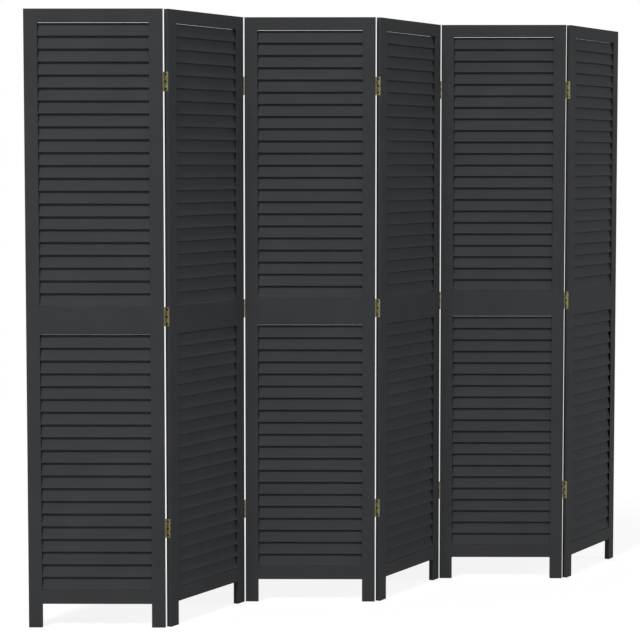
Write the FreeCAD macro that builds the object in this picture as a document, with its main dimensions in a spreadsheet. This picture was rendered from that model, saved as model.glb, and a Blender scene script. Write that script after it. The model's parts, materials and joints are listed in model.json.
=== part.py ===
import FreeCAD, Part
import os
import Sketcher

# A six-panel louvred folding screen, standing half folded in a zigzag on the floor.
# Lengths are in millimetres and angles in degrees. X runs along the screen, left to right as seen from its
# front, Y runs from the front to the back, and Z is up from the floor. The origin is on the floor, under the
# middle of the screen.
# Each panel is modelled in a frame of its own: x from its left edge, y from its front face to its back face,
# z from the floor. A hinge is modelled about its pin, which is its z axis.

# Driving sizes. Each one is set here alone, and the pieces are bound to it.
SIZES = [
    # Panel frame
    ("panel_width", "400"),
    ("panel_height", "1800"),
    ("panel_thickness", "15"),
    ("stile_width", "39.5"),
    ("foot_height", "70"),
    ("bottom_rail_height", "41"),
    ("lower_opening_height", "750"),
    ("middle_rail_height", "82"),
    ("top_rail_height", "39"),
    # Rail tenons in the stiles
    ("tenon_length", "22"),
    ("tenon_thickness", "5"),
    ("tenon_shoulder", "6"),
    ("tenon_clearance", "0.1"),
    # Slats, leaning back from a forward lower edge, and the slots that house their ends
    ("slat_width", "38"),
    ("slat_thickness", "4"),
    ("slat_spacing", "37.2"),
    ("slat_inset", "1.3"),
    ("slat_top_gap", "1"),
    ("slat_bottom_gap", "0.5"),
    ("slot_depth", "6"),
    ("slot_clearance", "0.15"),
    # Butt hinges on the edges of the stiles
    ("hinge_height", "56"),
    ("leaf_thickness", "0.9"),
    ("leaf_margin", "1.5"),
    ("leaf_gap", "0.5"),
    ("knuckle_radius", "1.8"),
    ("knuckle_clearance", "0.2"),
    ("top_hinge_drop", "208"),
    ("middle_hinge_rise", "10"),
    ("bottom_hinge_rise", "291"),
    # Turn from each panel to the next as the screen stands, in degrees: 0 is flat and 180 is folded up
    ("fold_angle", "60"),
]

# Sizes that follow from the driving ones
DERIVED = [
    # Heights of the rails and openings above the floor
    ("bottom_rail_base", "=foot_height"),
    ("lower_opening_base", "=bottom_rail_base + bottom_rail_height"),
    ("middle_rail_base", "=lower_opening_base + lower_opening_height"),
    ("upper_opening_base", "=middle_rail_base + middle_rail_height"),
    ("top_rail_base", "=panel_height - top_rail_height"),
    ("upper_opening_height", "=top_rail_base - upper_opening_base"),
    ("rail_length", "=panel_width - 2 * stile_width"),
    # The slats lean as far as the thickness of the panel lets them
    ("slat_depth", "=panel_thickness - 2 * slat_inset"),
    ("slat_diagonal", "=sqrt(slat_width ^ 2 + slat_thickness ^ 2)"),
    ("slat_tilt", "=asin(slat_depth / slat_diagonal) - atan(slat_thickness / slat_width)"),
    ("slat_drop", "=slat_thickness * sin(slat_tilt)"),
    ("slat_rise", "=slat_width * cos(slat_tilt) + slat_drop"),
    ("slat_length", "=rail_length + 2 * (slot_depth - slot_clearance)"),
    # As many slats as keep nearest to the wished spacing, spread evenly in each opening
    ("lower_slat_run", "=lower_opening_height - slat_top_gap - slat_bottom_gap - slat_rise"),
    ("upper_slat_run", "=upper_opening_height - slat_top_gap - slat_bottom_gap - slat_rise"),
    ("lower_slat_count", "=round(lower_slat_run / slat_spacing) + 1"),
    ("upper_slat_count", "=round(upper_slat_run / slat_spacing) + 1"),
    ("lower_slat_base", "=lower_opening_base + slat_bottom_gap + slat_drop"),
    ("upper_slat_base", "=upper_opening_base + slat_bottom_gap + slat_drop"),
    # A hinge's pin stands clear of the stile's edge by the leaf, and of its face by the knuckle
    ("leaf_reach", "=leaf_thickness + leaf_gap / 2"),
    ("leaf_start", "=knuckle_radius + knuckle_clearance"),
    ("leaf_end", "=knuckle_radius + panel_thickness - leaf_margin"),
    ("top_hinge_base", "=panel_height - top_hinge_drop - hinge_height / 2"),
    ("middle_hinge_height", "=middle_rail_base + middle_rail_height / 2 + middle_hinge_rise"),
    ("middle_hinge_base", "=middle_hinge_height - hinge_height / 2"),
    ("bottom_hinge_base", "=bottom_hinge_rise - hinge_height / 2"),
    # The zigzag: each panel turns half the fold to one side, between two pins on opposite faces
    ("half_fold", "=fold_angle * 1 deg / 2"),
    ("pin_span", "=panel_width + 2 * leaf_reach"),
    ("pin_depth", "=panel_thickness + 2 * knuckle_radius"),
    ("fold_pitch", "=pin_span * cos(half_fold) + pin_depth * sin(half_fold)"),
    ("ridge_y", "=(pin_depth * cos(half_fold) - pin_span * sin(half_fold)) / 2"),
    # A panel's own origin, from the pin at its ridge
    ("corner_reach", "=panel_width + leaf_reach"),
    ("corner_depth", "=panel_thickness + knuckle_radius"),
    ("odd_x", "=-corner_reach * cos(half_fold) - corner_depth * sin(half_fold)"),
    ("odd_y", "=ridge_y + corner_reach * sin(half_fold) - corner_depth * cos(half_fold)"),
    ("even_x", "=leaf_reach * cos(half_fold) + corner_depth * sin(half_fold)"),
    ("even_y", "=ridge_y + leaf_reach * sin(half_fold) - corner_depth * cos(half_fold)"),
]

PANELS = range(1, 7)
JOINTS = range(1, 6)
MIDDLE_JOINT = 3
HINGE_PLACES = ("bottom", "middle", "top")
HALF_TURN = 180

doc = FreeCAD.newDocument("folding_screen")
sheet = doc.addObject("Spreadsheet::Sheet", "Sizes")
for row, (alias, value) in enumerate(SIZES + DERIVED, start=1):
    sheet.set(f"A{row}", alias)
    sheet.set(f"B{row}", value)
    sheet.setAlias(f"B{row}", alias)
doc.recompute()


def number(expression):
    """What an expression of the sheet's sizes comes to."""
    result = sheet.evalExpression(expression)
    return float(getattr(result, "Value", result))


def origin_part(body, role):
    return next(part for part in body.Origin.OriginFeatures if part.Role == role)


def new_body(label, placement):
    """A named sub-part, which may hold several solids, placed by an expression."""
    body = doc.addObject("PartDesign::Body", label)
    body.Label = label
    body.AllowCompound = True
    body.setExpression("Placement", placement)
    return body


def new_sketch(body, plane, offset):
    """A sketch on one of the body's own planes, moved by an expression."""
    sketch = body.newObject("Sketcher::SketchObject", "Sketch")
    sketch.AttachmentSupport = [(origin_part(body, plane), "")]
    sketch.MapMode = "FlatFace"
    sketch.setExpression("AttachmentOffset", offset)
    return sketch


def offset_by(x, y, z, turn="0 deg"):
    return f"placement(vector({x}; {y}; {z}); rotation(vector(0; 0; 1); {turn}))"


def bind(sketch, name, expression, kind, *geometry):
    """One dimension of a sketch, held to an expression of the sheet's sizes."""
    index = sketch.addConstraint(Sketcher.Constraint(kind, *geometry, number(expression)))
    sketch.renameConstraint(index, name)
    sketch.setExpression(f"Constraints.{name}", expression)


def add_rectangle(sketch, name, left, bottom, width, height):
    """A rectangle whose corner and sides are expressions of the sheet's sizes."""
    x, y, across, up = (number(size) for size in (left, bottom, width, height))
    corners = [(x, y), (x + across, y), (x + across, y + up), (x, y + up)]
    points = [FreeCAD.Vector(*corner) for corner in corners]
    sides = [sketch.addGeometry(Part.LineSegment(points[i], points[(i + 1) % 4])) for i in range(4)]
    for side, following in zip(sides, sides[1:] + sides[:1]):
        sketch.addConstraint(Sketcher.Constraint("Coincident", side, 2, following, 1))
    for side, lie in zip(sides, ("Horizontal", "Vertical", "Horizontal", "Vertical")):
        sketch.addConstraint(Sketcher.Constraint(lie, side))
    bind(sketch, name + "_left", left, "DistanceX", -1, 1, sides[0], 1)
    bind(sketch, name + "_bottom", bottom, "DistanceY", -1, 1, sides[0], 1)
    bind(sketch, name + "_width", width, "DistanceX", sides[0], 1, sides[0], 2)
    bind(sketch, name + "_height", height, "DistanceY", sides[1], 1, sides[1], 2)


def add_circle(sketch, name, radius):
    """A circle about the sketch's origin."""
    circle = sketch.addGeometry(Part.Circle(FreeCAD.Vector(), FreeCAD.Vector(0, 0, 1), number(radius)))
    sketch.addConstraint(Sketcher.Constraint("Coincident", circle, 3, -1, 1))
    bind(sketch, name, radius, "Radius", circle)


def pad(body, sketch, length):
    feature = body.newObject("PartDesign::Pad", "Pad")
    feature.Profile = sketch
    feature.setExpression("Length", length)
    return feature


def pocket(body, sketch, depth, reverse):
    """A pocket, which has to take some of the body away."""
    doc.recompute()
    volume_before = body.Shape.Volume
    feature = body.newObject("PartDesign::Pocket", "Pocket")
    feature.Profile = sketch
    feature.Reversed = reverse
    feature.setExpression("Length", depth)
    doc.recompute()
    if not body.Shape.Volume < volume_before:
        raise RuntimeError(f"a pocket in {body.Label} cuts nothing")
    return feature


def row_upwards(body, feature, run, count):
    """Repeats a feature up the panel."""
    pattern = body.newObject("PartDesign::LinearPattern", "Row")
    pattern.Originals = [feature]
    pattern.Direction = (origin_part(body, "Z_Axis"), [""])
    pattern.setExpression("Length", run)
    pattern.setExpression("Occurrences", count)
    body.Tip = pattern


def panel_placement(panel):
    """Odd panels come forward to the ridge on their right, and even ones go back from the same ridge."""
    odd = panel % 2 == 1
    ridge_joint = panel if odd else panel - 1
    steps = ridge_joint - MIDDLE_JOINT
    name, sign = ("odd", "-") if odd else ("even", "")
    x = f"{steps} * Sizes.fold_pitch + Sizes.{name}_x"
    return offset_by(x, f"Sizes.{name}_y", "0", f"{sign}Sizes.half_fold")


def slat_offset(opening, x):
    """Where the section of an opening's lowest slat is drawn, tilted, from its front lower edge."""
    return offset_by("Sizes.slat_inset", f"Sizes.{opening}_slat_base", x, "-Sizes.slat_tilt")


def make_stile(panel, side):
    """A stile with its slanted slat slots and its three mortises on the inner edge."""
    left = side == "left"
    body = new_body(f"panel_{panel}_{side}_stile", panel_placement(panel))
    section = new_sketch(body, "XY_Plane", offset_by("0", "0", "0"))
    outer_x = "0" if left else "Sizes.panel_width - Sizes.stile_width"
    inner_x = "Sizes.stile_width" if left else outer_x
    add_rectangle(section, "stile", outer_x, "0", "Sizes.stile_width", "Sizes.panel_thickness")
    pad(body, section, "Sizes.panel_height")

    mortises = new_sketch(body, "YZ_Plane", offset_by("0", "0", inner_x))
    for rail in ("bottom", "middle", "top"):
        add_rectangle(
            mortises,
            rail,
            "(Sizes.panel_thickness - Sizes.tenon_thickness) / 2 - Sizes.tenon_clearance",
            f"Sizes.{rail}_rail_base + Sizes.tenon_shoulder - Sizes.tenon_clearance",
            "Sizes.tenon_thickness + 2 * Sizes.tenon_clearance",
            f"Sizes.{rail}_rail_height - 2 * Sizes.tenon_shoulder + 2 * Sizes.tenon_clearance",
        )
    pocket(body, mortises, "Sizes.tenon_length + Sizes.tenon_clearance", not left)

    for opening in ("lower", "upper"):
        slot = new_sketch(body, "YZ_Plane", slat_offset(opening, inner_x))
        add_rectangle(
            slot,
            "slot",
            "-Sizes.slot_clearance",
            "-Sizes.slot_clearance",
            "Sizes.slat_thickness + 2 * Sizes.slot_clearance",
            "Sizes.slat_width + 2 * Sizes.slot_clearance",
        )
        first_slot = pocket(body, slot, "Sizes.slot_depth", not left)
        row_upwards(body, first_slot, f"Sizes.{opening}_slat_run", f"Sizes.{opening}_slat_count")
    return body


def make_rail(panel, rail):
    """A rail flush with both faces of the panel, with a tenon at each end."""
    body = new_body(f"panel_{panel}_{rail}_rail", panel_placement(panel))
    base = f"Sizes.{rail}_rail_base"
    height = f"Sizes.{rail}_rail_height"
    section = new_sketch(body, "YZ_Plane", offset_by("0", base, "Sizes.stile_width"))
    add_rectangle(section, "rail", "0", "0", "Sizes.panel_thickness", height)
    pad(body, section, "Sizes.rail_length")

    tenons = new_sketch(body, "YZ_Plane", offset_by("0", base, "Sizes.stile_width - Sizes.tenon_length"))
    add_rectangle(
        tenons,
        "tenon",
        "(Sizes.panel_thickness - Sizes.tenon_thickness) / 2",
        "Sizes.tenon_shoulder",
        "Sizes.tenon_thickness",
        f"{height} - 2 * Sizes.tenon_shoulder",
    )
    pad(body, tenons, "Sizes.rail_length + 2 * Sizes.tenon_length")
    return body


def make_slats(panel):
    """All the slats of a panel, their ends in the stiles' slots."""
    body = new_body(f"panel_{panel}_slats", panel_placement(panel))
    end_x = "(Sizes.panel_width - Sizes.slat_length) / 2"
    for opening in ("lower", "upper"):
        section = new_sketch(body, "YZ_Plane", slat_offset(opening, end_x))
        add_rectangle(section, "slat", "0", "0", "Sizes.slat_thickness", "Sizes.slat_width")
        first_slat = pad(body, section, "Sizes.slat_length")
        row_upwards(body, first_slat, f"Sizes.{opening}_slat_run", f"Sizes.{opening}_slat_count")
    return body


def hinge_placement(joint, side):
    """The pins of joints 1, 3 and 5 are behind the panels. The other hinges are turned round."""
    ridge = joint % 2 == 1
    panel = joint if side == "left" else joint + 1
    turn = "-Sizes.half_fold" if panel % 2 == 1 else "Sizes.half_fold"
    x = f"{joint - MIDDLE_JOINT} * Sizes.fold_pitch"
    if ridge:
        return offset_by(x, "Sizes.ridge_y", "0", turn)
    return offset_by(x, "-Sizes.ridge_y", "0", f"{turn} + {HALF_TURN} deg")


def make_leaves(joint, side):
    """The three leaves on one side of a joint, each flat on the edge of its stile, beside the knuckles."""
    body = new_body(f"hinge_{joint}_{joint + 1}_{side}_leaves", hinge_placement(joint, side))
    left_of_pin = (side == "left") == (joint % 2 == 1)
    plate_x = "-Sizes.leaf_reach" if left_of_pin else "Sizes.leaf_reach - Sizes.leaf_thickness"
    plate_depth = "Sizes.leaf_end - Sizes.leaf_start"
    for place in HINGE_PLACES:
        plate = new_sketch(body, "XY_Plane", offset_by("0", "0", f"Sizes.{place}_hinge_base"))
        add_rectangle(plate, "plate", plate_x, "-Sizes.leaf_end", "Sizes.leaf_thickness", plate_depth)
        pad(body, plate, "Sizes.hinge_height")
    return body


def make_pins(joint):
    """The three pins of a joint, each as thick as the knuckles that are rolled round it."""
    carrier = "left" if joint % 2 == 1 else "right"
    body = new_body(f"hinge_{joint}_{joint + 1}_pins", hinge_placement(joint, carrier))
    for place in HINGE_PLACES:
        pin = new_sketch(body, "XY_Plane", offset_by("0", "0", f"Sizes.{place}_hinge_base"))
        add_circle(pin, "knuckle", "Sizes.knuckle_radius")
        pad(body, pin, "Sizes.hinge_height")
    return body


bodies = []
for panel in PANELS:
    bodies += [make_stile(panel, side) for side in ("left", "right")]
    bodies += [make_rail(panel, rail) for rail in ("bottom", "middle", "top")]
    bodies.append(make_slats(panel))
for joint in JOINTS:
    bodies += [make_leaves(joint, side) for side in ("left", "right")]
    bodies.append(make_pins(joint))
doc.recompute()

for item in doc.Objects:
    if "Invalid" in item.State or "Error" in item.State:
        raise RuntimeError(f"{item.Label} failed: {item.State}")
for body in bodies:
    if body.Shape.isNull() or not body.Shape.isValid():
        raise RuntimeError(f"{body.Label} has no valid shape")

os.makedirs("parts", exist_ok=True)
for body in bodies:
    body.Shape.exportStep(f"parts/{body.Label}.step")
    print(body.Label, len(body.Shape.Solids), "solids", round(body.Shape.Volume), "cubic mm")
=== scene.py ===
import json
import math

import bmesh
import bpy
from mathutils import Matrix, Vector


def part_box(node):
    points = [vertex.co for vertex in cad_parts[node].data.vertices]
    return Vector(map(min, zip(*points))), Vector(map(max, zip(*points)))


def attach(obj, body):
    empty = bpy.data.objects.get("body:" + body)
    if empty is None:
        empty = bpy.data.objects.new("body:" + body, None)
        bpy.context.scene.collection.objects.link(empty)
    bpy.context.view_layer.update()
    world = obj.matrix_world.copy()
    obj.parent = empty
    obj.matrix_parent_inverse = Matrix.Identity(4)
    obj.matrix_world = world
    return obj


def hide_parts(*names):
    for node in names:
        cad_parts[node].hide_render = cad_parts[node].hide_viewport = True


# A six-panel louvred folding screen in dark satin paint, with antique brass butt hinges, on a plain
# pale floor. Lengths are in metres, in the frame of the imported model: X along the screen, Y to its
# back, Z up.
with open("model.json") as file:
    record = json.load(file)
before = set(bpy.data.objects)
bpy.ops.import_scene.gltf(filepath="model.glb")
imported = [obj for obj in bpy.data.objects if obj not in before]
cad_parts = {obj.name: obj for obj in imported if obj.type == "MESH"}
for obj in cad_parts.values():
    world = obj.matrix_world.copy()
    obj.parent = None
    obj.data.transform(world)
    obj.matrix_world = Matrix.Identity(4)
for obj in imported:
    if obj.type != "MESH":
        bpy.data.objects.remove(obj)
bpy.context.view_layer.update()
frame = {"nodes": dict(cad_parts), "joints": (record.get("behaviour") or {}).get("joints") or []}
nodes = frame["nodes"]

PANELS = range(1, 7)
JOINTS = range(1, 6)
MM = 0.001
FULL_TURN = 2 * math.pi
HEIGHT_DIGITS = 6
WHITE = (1, 1, 1, 1)

# Softened edges of the painted wood and of the pressed hinges
WOOD_EDGE = 0.1 * MM
LEAF_EDGE = 0.15 * MM
EDGE_STEPS = 2
WELD_REACH = 0.01 * MM
EDGE_ANGLE = math.radians(40)
FLAT_ANGLE = math.radians(1)

# Satin paint: two tones, the grain along each kind of piece, clouds and specks in the film
FRAME_DARK = (0.0393, 0.0404, 0.0421)
FRAME_LIGHT = (0.048, 0.0494, 0.0514)
# The slats' tones are a little lighter and bluer than the frame's, though it is one paint: painted
# light, for the light their upturned faces catch from above
LIT_SLAT_DARK = (0.0411, 0.0425, 0.045)
LIT_SLAT_LIGHT = (0.0499, 0.0515, 0.0546)
PAINT_LIMITS = (0.3, 0.7)
PAINT_ROUGHNESS = (0.55, 0.67)
PAINT_GLOSS = 0.015
UPRIGHT_GRAIN = (420, 420, 9)
LEVEL_GRAIN = (9, 420, 420)
GRAIN_NOISE = {"Scale": 1.0, "Detail": 6.0, "Roughness": 0.62, "Distortion": 0.35}
CLOUD_NOISE = {"Scale": 9.0, "Detail": 3.0, "Roughness": 0.5}
CLOUD_SHARE = 0.5
SPECK_NOISE = {"Scale": 900.0, "Detail": 2.0, "Roughness": 0.5}
GRAIN_RELIEF = {"Strength": 0.35, "Distance": 0.4 * MM}
SPECK_RELIEF = {"Strength": 0.05, "Distance": 0.2 * MM}

# Aged metal: two tones in patches, and fine upright scratches
BRASS_DARK = (0.201, 0.178, 0.096)
BRASS_LIGHT = (0.432, 0.4, 0.245)
BRASS_ROUGHNESS = (0.4, 0.6)
BRONZE_DARK = (0.012, 0.011, 0.006)
BRONZE_LIGHT = (0.045, 0.041, 0.022)
BRONZE_ROUGHNESS = (0.35, 0.6)
PATCH_LIMITS = (0.32, 0.68)
PATCH_NOISE = {"Scale": 160.0, "Detail": 5.0, "Roughness": 0.6, "Distortion": 0.4}
SCRATCH_STRETCH = (4000, 4000, 120)
SCRATCH_NOISE = {"Scale": 1.0, "Detail": 2.0}
SCRATCH_RELIEF = {"Strength": 0.15, "Distance": 0.1 * MM}

# Countersunk hinge screws, and the holes in the leaves that take them
SCREWS_PER_LEAF = 3
SCREW_SPACING = 20.5 * MM
SCREW_FROM_PIN = 7.2 * MM
SCREW_RADIUS = 3.2 * MM
SCREW_DOME = 0.16 * MM
SCREW_DEPTH = 0.75 * MM
SCREW_SIDES = 28
RECESS_REACH = 1.7 * MM
RECESS_WIDTH = 0.7 * MM
RECESS_DEPTH = 0.7 * MM
RECESS_FLOOR_SHARE = 0.6
HOLE_CLEARANCE = 0.15 * MM

# How far each screw was driven round, which differs from screw to screw
TWIST_BY_SCREW = 0.9
TWIST_BY_JOINT = 0.5
TWIST_BY_HEIGHT = 2.1

# Rolled knuckles round each hinge pin, in turn from the left and the right leaf
KNUCKLES = 5
FIRST_KNUCKLE = {"left": 0, "right": 1}
KNUCKLE_GAP = 0.35 * MM
KNUCKLE_EDGE = 0.2 * MM
KNUCKLE_SIDES = 32
PIN_SHARE = 0.62
PIN_CLEARANCE = 0.05 * MM
LEAF_ROOT_SHARE = 0.72

# Camera, fitted to the corners of the panels in the photograph
CAMERA_PLACE = (-3.2329, -5.4408, 1.3637)
CAMERA_TURN = math.radians(29.584)
CAMERA_DIP = math.radians(3.934)
CAMERA_LENS = 114.422
CAMERA_SHIFT = -0.03

# Studio lamps, each turned from the front of the screen, and the even light of the sky
LAMP_AIM = (0.0, 0.0, 0.9)
LAMP_SIZE = 3.6
LAMP_DISTANCE = 11.0
KEY_TURN = math.radians(-58)
KEY_HEIGHT = 11.4
KEY_POWER = 1715
FILL_TURN = math.radians(58)
FILL_HEIGHT = 4.4
FILL_POWER = 392
BACK_TURN = math.radians(165)
BACK_HEIGHT = 7.0
BACK_POWER = 520
SKY_LEVEL = 0.28

# Floor: how it returns light to the screen, and how it shows near the screen and further off
FLOOR_SIZE = 60.0
FLOOR_BOUNCE = (0.62, 0.62, 0.62, 1)
FLOOR_ROUGHNESS = 0.9
FLOOR_SHADE = (0.22, 0.22, 0.22, 1)
FLOOR_GLOW = 0.82
FLOOR_FADE = (1.4, 2.6)


def panel_turn(panel):
    """How far a panel is turned about Z, from the run of its middle rail."""
    points = [vertex.co.xy for vertex in nodes[f"panel_{panel}_middle_rail"].data.vertices]
    lowest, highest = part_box(f"panel_{panel}_middle_rail")
    left = [point for point in points if point.x < (lowest.x + highest.x) / 2]
    right = [point for point in points if point.x > (lowest.x + highest.x) / 2]
    run = sum(right, Vector((0, 0))) / len(right) - sum(left, Vector((0, 0))) / len(left)
    return math.atan2(run.y, run.x)


def spans_up(node):
    """The lowest and highest z of each of a node's solids, which stand one above another."""
    heights = sorted({round(vertex.co.z, HEIGHT_DIGITS) for vertex in nodes[node].data.vertices})
    return list(zip(heights[::2], heights[1::2]))


def round_edges(piece, width):
    """Rounds a piece's edges a little."""
    bevel = piece.modifiers.new("edge", "BEVEL")
    bevel.width = width
    bevel.segments = EDGE_STEPS
    bevel.limit_method = "ANGLE"
    bevel.angle_limit = EDGE_ANGLE
    piece.modifiers.new("normals", "WEIGHTED_NORMAL")


def soften(node, width):
    """Joins a node's facets into flat faces, and rounds its edges."""
    piece = nodes[node]
    weld = piece.modifiers.new("weld", "WELD")
    weld.merge_threshold = WELD_REACH
    flats = piece.modifiers.new("flats", "DECIMATE")
    flats.decimate_type = "DISSOLVE"
    flats.angle_limit = FLAT_ANGLE
    round_edges(piece, width)


def dress(node, material):
    """Gives a node its material."""
    piece = nodes[node]
    piece.data.materials.clear()
    piece.data.materials.append(material)


def new_object(name, build, material, body):
    """A mesh piece, riding on a body, that takes the finish of the hinges."""
    mesh = bpy.data.meshes.new(name)
    work = bmesh.new()
    build(work)
    bmesh.ops.recalc_face_normals(work, faces=work.faces)
    work.to_mesh(mesh)
    work.free()
    mesh.materials.append(material)
    mesh.shade_smooth()
    mesh.set_sharp_from_angle(angle=EDGE_ANGLE)
    piece = bpy.data.objects.new(name, mesh)
    bpy.context.scene.collection.objects.link(piece)
    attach(piece, body)
    return piece


def new_material(name):
    """A material, with its nodes and its main shader."""
    material = bpy.data.materials.new(name)
    material.use_nodes = True
    tree = material.node_tree
    shader = tree.nodes["Principled BSDF"]
    return material, tree, shader


def add(tree, kind, **values):
    """A node whose named inputs or settings are given."""
    node = tree.nodes.new(kind)
    for name, value in values.items():
        if name in node.inputs:
            node.inputs[name].default_value = value
        else:
            setattr(node, name, value)
    return node


def stretched(tree, place, scale):
    """A place, scaled along each axis."""
    mapping = add(tree, "ShaderNodeMapping", Scale=scale)
    tree.links.new(place, mapping.inputs["Vector"])
    return mapping.outputs["Vector"]


def noise(tree, place, values):
    """The level of a noise at a place."""
    texture = add(tree, "ShaderNodeTexNoise", **values)
    tree.links.new(place, texture.inputs["Vector"])
    return texture.outputs["Fac"]


def colour_ramp(tree, source, limits, dark, light):
    """A colour that goes from dark to light as a level goes from one limit to the other."""
    ramp = add(tree, "ShaderNodeValToRGB")
    first, last = ramp.color_ramp.elements
    first.position, last.position = limits
    first.color = (*dark, 1)
    last.color = (*light, 1)
    tree.links.new(source, ramp.inputs["Fac"])
    return ramp.outputs["Color"]


def value_range(tree, source, limits):
    """A level from 0 to 1, brought between two limits."""
    spread = add(tree, "ShaderNodeMapRange")
    spread.inputs["To Min"].default_value, spread.inputs["To Max"].default_value = limits
    tree.links.new(source, spread.inputs["Value"])
    return spread.outputs["Result"]


def relief(tree, height, values):
    """A bump of the surface by a level."""
    bump = add(tree, "ShaderNodeBump", **values)
    tree.links.new(height, bump.inputs["Height"])
    return bump


def paint(name, dark, light, turn, grain_stretch):
    """Satin paint on wood: its grain just shows through in relief, and the film is a little uneven."""
    material, tree, shader = new_material(name)
    place = add(tree, "ShaderNodeTexCoord").outputs["Object"]
    along = add(tree, "ShaderNodeVectorRotate", rotation_type="Z_AXIS", Angle=-turn)
    tree.links.new(place, along.inputs["Vector"])
    grain = noise(tree, stretched(tree, along.outputs["Vector"], grain_stretch), GRAIN_NOISE)
    cloud = noise(tree, place, CLOUD_NOISE)
    speck = noise(tree, place, SPECK_NOISE)

    tone = add(tree, "ShaderNodeMix", data_type="FLOAT", Factor=CLOUD_SHARE)
    tree.links.new(grain, tone.inputs["A"])
    tree.links.new(cloud, tone.inputs["B"])
    colour = colour_ramp(tree, tone.outputs["Result"], PAINT_LIMITS, dark, light)
    tree.links.new(colour, shader.inputs["Base Color"])
    tree.links.new(value_range(tree, cloud, PAINT_ROUGHNESS), shader.inputs["Roughness"])
    shader.inputs["Specular IOR Level"].default_value = PAINT_GLOSS

    wood = relief(tree, grain, GRAIN_RELIEF)
    film = relief(tree, speck, SPECK_RELIEF)
    tree.links.new(wood.outputs["Normal"], film.inputs["Normal"])
    tree.links.new(film.outputs["Normal"], shader.inputs["Normal"])
    return material


def aged_metal(name, dark, light, roughness):
    """Aged metal: a dull film, darker in patches, with fine scratches."""
    material, tree, shader = new_material(name)
    place = add(tree, "ShaderNodeTexCoord").outputs["Object"]
    patch = noise(tree, place, PATCH_NOISE)
    scratch = noise(tree, stretched(tree, place, SCRATCH_STRETCH), SCRATCH_NOISE)

    colour = colour_ramp(tree, patch, PATCH_LIMITS, dark, light)
    tree.links.new(colour, shader.inputs["Base Color"])
    tree.links.new(value_range(tree, patch, roughness), shader.inputs["Roughness"])
    shader.inputs["Metallic"].default_value = 1.0
    bump = relief(tree, scratch, SCRATCH_RELIEF)
    tree.links.new(bump.outputs["Normal"], shader.inputs["Normal"])
    return material


def dress_panel(panel):
    """The paint and softened edges of a panel's stiles, rails and slats."""
    turn = panel_turn(panel)
    upright = paint(f"panel_{panel}_upright_paint", FRAME_DARK, FRAME_LIGHT, turn, UPRIGHT_GRAIN)
    level = paint(f"panel_{panel}_rail_paint", FRAME_DARK, FRAME_LIGHT, turn, LEVEL_GRAIN)
    # The slats take the lighter tones, which paint in the light their upturned faces catch
    louvre = paint(f"panel_{panel}_slat_paint_with_painted_light", LIT_SLAT_DARK, LIT_SLAT_LIGHT, turn, LEVEL_GRAIN)
    coats = {
        "left_stile": upright,
        "right_stile": upright,
        "bottom_rail": level,
        "middle_rail": level,
        "top_rail": level,
        "slats": louvre,
    }
    for piece, coat in coats.items():
        dress(f"panel_{panel}_{piece}", coat)
        soften(f"panel_{panel}_{piece}", WOOD_EDGE)


def ring(work, place, radius, height, sides):
    """A level ring of points round z, moved to its place."""
    turns = [FULL_TURN * side / sides for side in range(sides)]
    points = [Vector((radius * math.cos(turn), radius * math.sin(turn), height)) for turn in turns]
    return [work.verts.new(place @ point) for point in points]


def join_rings(work, lower, upper):
    """The band of faces between two rings of as many points."""
    for i in range(len(lower)):
        j = (i + 1) % len(lower)
        work.faces.new((lower[i], lower[j], upper[j], upper[i]))


def by_turn(place, points):
    """Points with their turns round a place's z axis, in order of turn."""
    back = place.inverted()
    turned = [(math.atan2(*(back @ point.co).yx) % FULL_TURN, point) for point in points]
    return sorted(turned, key=lambda pair: pair[0])


def zip_loops(work, place, inner, outer):
    """Fills the flat space between two loops of points round a place's z axis."""
    inner = by_turn(place, inner)
    outer = by_turn(place, outer)
    for loop in (inner, outer):
        first_turn, first_point = loop[0]
        loop.append((first_turn + FULL_TURN, first_point))
    i = j = 0
    while i + 1 < len(inner) or j + 1 < len(outer):
        inner_middle = inner[i][0] + inner[i + 1][0] if i + 1 < len(inner) else math.inf
        outer_middle = outer[j][0] + outer[j + 1][0] if j + 1 < len(outer) else math.inf
        if inner_middle < outer_middle:
            work.faces.new((inner[i][1], outer[j][1], inner[i + 1][1]))
            i += 1
        else:
            work.faces.new((inner[i][1], outer[j][1], outer[j + 1][1]))
            j += 1


def add_barrel(work, place, radius, bottom, top):
    """The rings of a barrel with broken edges, open at its ends."""
    profile = [
        (radius - KNUCKLE_EDGE, bottom),
        (radius, bottom + KNUCKLE_EDGE),
        (radius, top - KNUCKLE_EDGE),
        (radius - KNUCKLE_EDGE, top),
    ]
    rings = [ring(work, place, reach, height, KNUCKLE_SIDES) for reach, height in profile]
    for lower, upper in zip(rings, rings[1:]):
        join_rings(work, lower, upper)
    return rings


def add_pin(work, place, radius, bottom, top):
    """A closed barrel."""
    rings = add_barrel(work, place, radius, bottom, top)
    work.faces.new(rings[0][::-1])
    work.faces.new(rings[-1])


def add_knuckle(work, place, radius, bore, bottom, top):
    """A barrel with a bore for the pin."""
    rings = add_barrel(work, place, radius, bottom, top)
    bore_foot = ring(work, place, bore, bottom, KNUCKLE_SIDES)
    bore_head = ring(work, place, bore, top, KNUCKLE_SIDES)
    join_rings(work, bore_foot, rings[0])
    join_rings(work, rings[-1], bore_head)
    join_rings(work, bore_head, bore_foot)


def add_block(work, place, low, high):
    """A closed box between two corners."""
    made = bmesh.ops.create_cube(work, size=1.0)
    centre = (Vector(low) + Vector(high)) / 2
    size = Vector(high) - Vector(low)
    bmesh.ops.transform(
        work,
        matrix=place @ Matrix.Translation(centre) @ Matrix.Diagonal((*size, 1)),
        verts=made["verts"],
    )


def cross(work, place, height, share):
    """The corners of a screw's recess at a height, as a share of its mouth."""
    half = RECESS_WIDTH / 2
    arm = [Vector((RECESS_REACH, half)), Vector((half, half)), Vector((half, RECESS_REACH))]
    turns = [Matrix.Rotation(quarter * FULL_TURN / 4, 2) for quarter in range(4)]
    corners = [turn @ corner for turn in turns for corner in arm]
    return [work.verts.new(place @ Vector((*corner * share, height))) for corner in corners]


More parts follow.
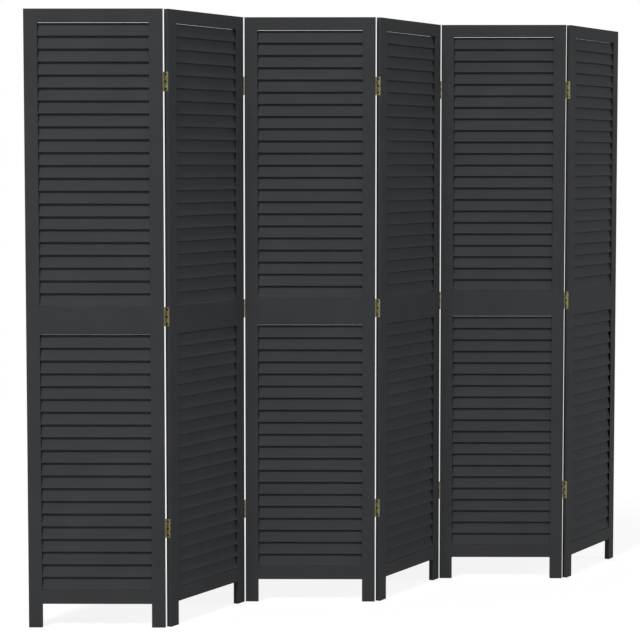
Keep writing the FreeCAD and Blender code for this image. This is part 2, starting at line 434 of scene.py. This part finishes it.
def add_screw(work, place):
    """A countersunk screw head with a cross recess, seen from +z of its place."""
    foot = ring(work, place, SCREW_RADIUS - SCREW_DEPTH, -SCREW_DEPTH, SCREW_SIDES)
    rim = ring(work, place, SCREW_RADIUS, 0, SCREW_SIDES)
    crown = ring(work, place, SCREW_RADIUS - SCREW_DOME, SCREW_DOME, SCREW_SIDES)
    work.faces.new(foot[::-1])
    join_rings(work, foot, rim)
    join_rings(work, rim, crown)

    mouth = cross(work, place, SCREW_DOME, 1)
    floor = cross(work, place, SCREW_DOME - RECESS_DEPTH, RECESS_FLOOR_SHARE)
    join_rings(work, floor, mouth)
    work.faces.new(floor)
    zip_loops(work, place, mouth, crown)


def add_leaf(work, place, low, high, spots, facing):
    """A flat leaf between two corners, with a countersunk hole at each spot of its outer face."""
    across = (low.x, high.x)
    along = (low.y, spots[0].y, high.y)
    levels = [low.z]
    for spot, following in zip(spots, spots[1:]):
        levels += [spot.z, (spot.z + following.z) / 2]
    levels += [spots[-1].z, high.z]
    centres = {(spot.y, spot.z) for spot in spots}
    grid = [(y, z) for y in along for z in levels if (y, z) not in centres]
    points = {(x, y, z): work.verts.new(place @ Vector((x, y, z))) for x in across for y, z in grid}

    edge = [(y, levels[0]) for y in along[:-1]]
    edge += [(along[-1], z) for z in levels[:-1]]
    edge += [(y, levels[-1]) for y in along[:0:-1]]
    edge += [(along[0], z) for z in levels[:0:-1]]
    join_rings(work, *([points[x, y, z] for y, z in edge] for x in across))

    for number, spot in enumerate(spots):
        hole = place @ Matrix.Translation(spot) @ facing
        reach = levels[2 * number : 2 * number + 3]
        rims = []
        for x in across:
            depth = abs(x - spot.x)
            rim = ring(work, hole, SCREW_RADIUS + HOLE_CLEARANCE - depth, -depth, SCREW_SIDES)
            square = [points[x, y, z] for y, z in grid if z in reach]
            zip_loops(work, hole, rim, square)
            rims.append(rim)
        join_rings(work, *rims)


def joint_place(joint, turn):
    """The pin line of a joint, turned as one of its panels is."""
    x, y, z = frame["joints"][joint - 1]["pos_m"]
    return Matrix.Translation((x, y, z)) @ Matrix.Rotation(turn, 4, "Z")


def barrel_radius(name):
    """The radius of the barrels of a joint's hinges."""
    lowest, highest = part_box(f"{name}_pins")
    return (highest.x - lowest.x) / 2


def leaf_box(node, place):
    """The corners of a leaf about its pin, x across its thickness and y along its depth."""
    back = place.inverted()
    points = [back @ vertex.co for vertex in nodes[node].data.vertices]
    low = Vector(min(point[axis] for point in points) for axis in range(3))
    high = Vector(max(point[axis] for point in points) for axis in range(3))
    return low, high


def screw_spots(bottom, top, face, away):
    """The middles of a leaf's screw heads on its outer face, away from the pin along y."""
    rises = [(number - (SCREWS_PER_LEAF - 1) / 2) * SCREW_SPACING for number in range(SCREWS_PER_LEAF)]
    middle = (bottom + top) / 2
    return [Vector((face, away * SCREW_FROM_PIN, middle + rise)) for rise in rises]


def knuckle_spans(bottom, top, first):
    """The lower and upper end of every second knuckle of a hinge."""
    step = (top - bottom) / KNUCKLES
    spans = []
    for number in range(first, KNUCKLES, 2):
        base = bottom + number * step + (KNUCKLE_GAP / 2 if number else 0)
        tip = bottom + (number + 1) * step - (KNUCKLE_GAP / 2 if number + 1 < KNUCKLES else 0)
        spans.append((base, tip))
    return spans


def dress_hinge_side(joint, side, panel, outward):
    """The screws, drilled leaves and knuckles of a joint's three hinges on one of its panels."""
    name = f"hinge_{joint}_{joint + 1}"
    body = f"panel_{panel}"
    place = joint_place(joint, panel_turn(panel))
    spans = spans_up(f"{name}_pins")
    low, high = leaf_box(f"{name}_{side}_leaves", place)
    face = high.x if outward > 0 else low.x
    facing = Matrix.Rotation(outward * FULL_TURN / 4, 4, "Y")
    away = -1 if abs(low.y) > abs(high.y) else 1
    leaf_start = high.y if away < 0 else low.y

    def screws(work):
        for bottom, top in spans:
            for number, spot in enumerate(screw_spots(bottom, top, face, away)):
                angle = TWIST_BY_SCREW * number + TWIST_BY_JOINT * joint + TWIST_BY_HEIGHT * bottom
                twist = Matrix.Rotation(angle, 4, "Z")
                add_screw(work, place @ Matrix.Translation(spot) @ facing @ twist)

    def leaves(work):
        for bottom, top in spans:
            corners = Vector((low.x, low.y, bottom)), Vector((high.x, high.y, top))
            add_leaf(work, place, *corners, screw_spots(bottom, top, face, away), facing)

    def knuckles(work):
        radius = barrel_radius(name)
        bore = radius * PIN_SHARE + PIN_CLEARANCE
        root_low, root_high = sorted((away * radius * LEAF_ROOT_SHARE, leaf_start))
        for bottom, top in spans:
            for base, tip in knuckle_spans(bottom, top, FIRST_KNUCKLE[side]):
                add_knuckle(work, place, radius, bore, base, tip)
                add_block(work, place, (low.x, root_low, base), (high.x, root_high, tip))

    new_object(f"{name}_{side}_screws", screws, bronze, body)
    leaf = new_object(f"{name}_{side}_drilled_leaves", leaves, brass, body)
    round_edges(leaf, LEAF_EDGE)
    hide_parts(f"{name}_{side}_leaves")
    new_object(f"{name}_{side}_knuckles", knuckles, brass, body)


def dress_hinges(joint):
    """The fine form of a joint's three hinges: screws, drilled leaves, knuckles and slim pins."""
    name = f"hinge_{joint}_{joint + 1}"
    dress_hinge_side(joint, "left", joint, 1)
    dress_hinge_side(joint, "right", joint + 1, -1)

    def pins(work):
        for bottom, top in spans_up(f"{name}_pins"):
            add_pin(work, joint_place(joint, 0), barrel_radius(name) * PIN_SHARE, bottom, top)

    carrier = joint if joint % 2 == 1 else joint + 1
    pin = new_object(f"{name}_slim_pins", pins, brass, f"panel_{carrier}")
    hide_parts(f"{name}_pins")


def background_ray(tree):
    """1 for rays that show the background: from the camera, mirrored or through glass."""
    path = add(tree, "ShaderNodeLightPath")
    mirrored = add(tree, "ShaderNodeMath", operation="MAXIMUM")
    tree.links.new(path.outputs["Is Glossy Ray"], mirrored.inputs[0])
    tree.links.new(path.outputs["Is Transmission Ray"], mirrored.inputs[1])
    shown = add(tree, "ShaderNodeMath", operation="MAXIMUM")
    tree.links.new(path.outputs["Is Camera Ray"], shown.inputs[0])
    tree.links.new(mirrored.outputs[0], shown.inputs[1])
    return shown.outputs[0]


def show_as(tree, light, shown, output):
    """Lights the screen with one shader, and shows another as the background."""
    choice = add(tree, "ShaderNodeMixShader")
    tree.links.new(background_ray(tree), choice.inputs[0])
    tree.links.new(light.outputs[0], choice.inputs[1])
    tree.links.new(shown.outputs[0], choice.inputs[2])
    tree.links.new(choice.outputs[0], tree.nodes[output].inputs["Surface"])


def floor_shown(tree):
    """Near the screen a near white that takes its shadow, which fades to plain white further off."""
    shade = add(tree, "ShaderNodeBsdfDiffuse", Color=FLOOR_SHADE)
    glow = add(tree, "ShaderNodeEmission", Strength=FLOOR_GLOW)
    near = add(tree, "ShaderNodeAddShader")
    tree.links.new(shade.outputs[0], near.inputs[0])
    tree.links.new(glow.outputs[0], near.inputs[1])
    far = add(tree, "ShaderNodeEmission", Strength=1.0)

    place = add(tree, "ShaderNodeTexCoord").outputs["Object"]
    distance = add(tree, "ShaderNodeVectorMath", operation="LENGTH")
    tree.links.new(place, distance.inputs[0])
    fade = add(tree, "ShaderNodeMapRange", interpolation_type="SMOOTHSTEP")
    fade.inputs["From Min"].default_value, fade.inputs["From Max"].default_value = FLOOR_FADE
    tree.links.new(distance.outputs["Value"], fade.inputs["Value"])

    shown = add(tree, "ShaderNodeMixShader")
    tree.links.new(fade.outputs["Result"], shown.inputs[0])
    tree.links.new(near.outputs[0], shown.inputs[1])
    tree.links.new(far.outputs[0], shown.inputs[2])
    return shown


def make_floor():
    """A pale floor that shows as white, and keeps a faint shadow."""
    bpy.ops.mesh.primitive_plane_add(size=FLOOR_SIZE)
    floor = bpy.context.object
    floor.name = "floor"
    material, tree, shader = new_material("floor_white")
    shader.inputs["Base Color"].default_value = FLOOR_BOUNCE
    shader.inputs["Roughness"].default_value = FLOOR_ROUGHNESS
    shader.inputs["Specular IOR Level"].default_value = 0.0
    show_as(tree, shader, floor_shown(tree), "Material Output")
    floor.data.materials.append(material)


def make_sky():
    """An even soft light, shown as white."""
    world = bpy.data.worlds.new("studio")
    bpy.context.scene.world = world
    world.use_nodes = True
    tree = world.node_tree
    light = tree.nodes["Background"]
    light.inputs["Color"].default_value = WHITE
    light.inputs["Strength"].default_value = SKY_LEVEL
    white = add(tree, "ShaderNodeBackground", Color=WHITE, Strength=1.0)
    show_as(tree, light, white, "World Output")


def make_lamp(name, turn, height, power):
    """A soft round lamp, turned to one side of the screen's front."""
    lamp = bpy.data.lights.new(name, "AREA")
    lamp.shape = "DISK"
    lamp.size = LAMP_SIZE
    lamp.energy = power
    piece = bpy.data.objects.new(name, lamp)
    bpy.context.scene.collection.objects.link(piece)
    aim = Vector(LAMP_AIM)
    piece.location = (
        aim.x + LAMP_DISTANCE * math.sin(turn),
        aim.y - LAMP_DISTANCE * math.cos(turn),
        height,
    )
    piece.rotation_euler = (aim - piece.location).to_track_quat("-Z", "Y").to_euler()


def make_camera():
    """The camera of the photograph."""
    data = bpy.data.cameras.new("camera")
    data.lens = CAMERA_LENS
    data.shift_y = CAMERA_SHIFT
    camera = bpy.data.objects.new("camera", data)
    bpy.context.scene.collection.objects.link(camera)
    camera.location = CAMERA_PLACE
    camera.rotation_euler = (math.pi / 2 - CAMERA_DIP, 0, -CAMERA_TURN)
    bpy.context.scene.camera = camera


brass = aged_metal("antique_brass", BRASS_DARK, BRASS_LIGHT, BRASS_ROUGHNESS)
bronze = aged_metal("screw_bronze", BRONZE_DARK, BRONZE_LIGHT, BRONZE_ROUGHNESS)
for panel in PANELS:
    dress_panel(panel)
for joint in JOINTS:
    dress_hinges(joint)

make_floor()
make_sky()
make_lamp("key", KEY_TURN, KEY_HEIGHT, KEY_POWER)
make_lamp("fill", FILL_TURN, FILL_HEIGHT, FILL_POWER)
make_lamp("back", BACK_TURN, BACK_HEIGHT, BACK_POWER)
make_camera()
bpy.context.scene.view_settings.view_transform = "Standard"
